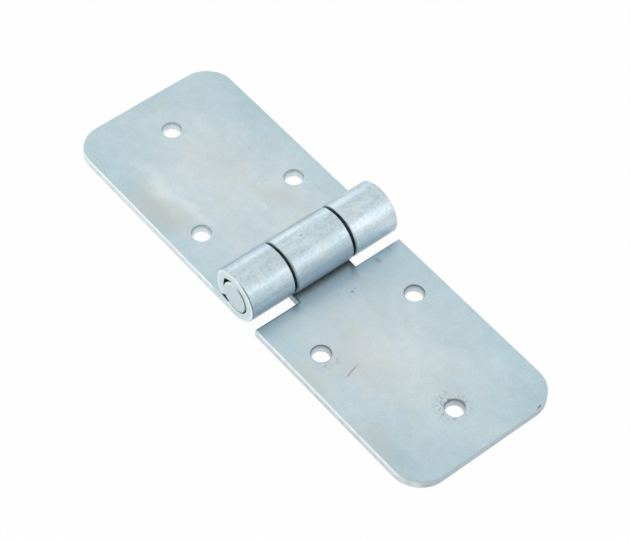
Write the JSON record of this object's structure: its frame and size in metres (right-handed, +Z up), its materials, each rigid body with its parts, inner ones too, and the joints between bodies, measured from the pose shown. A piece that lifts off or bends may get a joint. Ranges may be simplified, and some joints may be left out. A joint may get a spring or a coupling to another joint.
{
  "type": "coach hinge",
  "caption": "Heavy steel coach hinge with round-cornered leaves rolled over a plain loose pin, bright zinc plated, folding either way.",
  "frame": {"origin": "on the surface that the open hinge lies on, under the middle of the pin", "axes": "+X along the leaves, from the axis towards the leaf with one knuckle; +Y along the pin; +Z up, from the leaves' backs towards the barrel"},
  "size_m": [0.1504, 0.051, 0.0158],
  "materials": {
    "two_knuckle_leaf": "bright zinc plate with a faint blue and straw tint",
    "one_knuckle_leaf": "bright zinc plate with a faint blue and straw tint",
    "hinge_pin": "bright zinc plate"
  },
  "bodies": {
    "two_knuckle_side": {"two_knuckle_leaf": "two_knuckle_leaf", "hinge_pin": "hinge_pin"},
    "one_knuckle_side": {"one_knuckle_leaf": "one_knuckle_leaf"}
  },
  "joints": [
    {"name": "leaf_fold", "type": "hinge", "parent": "two_knuckle_side", "child": "one_knuckle_side", "pos_m": [0, 0, 0.0079], "axis": [0, -1, 0], "range_deg": [-97, 187]}
  ]
}
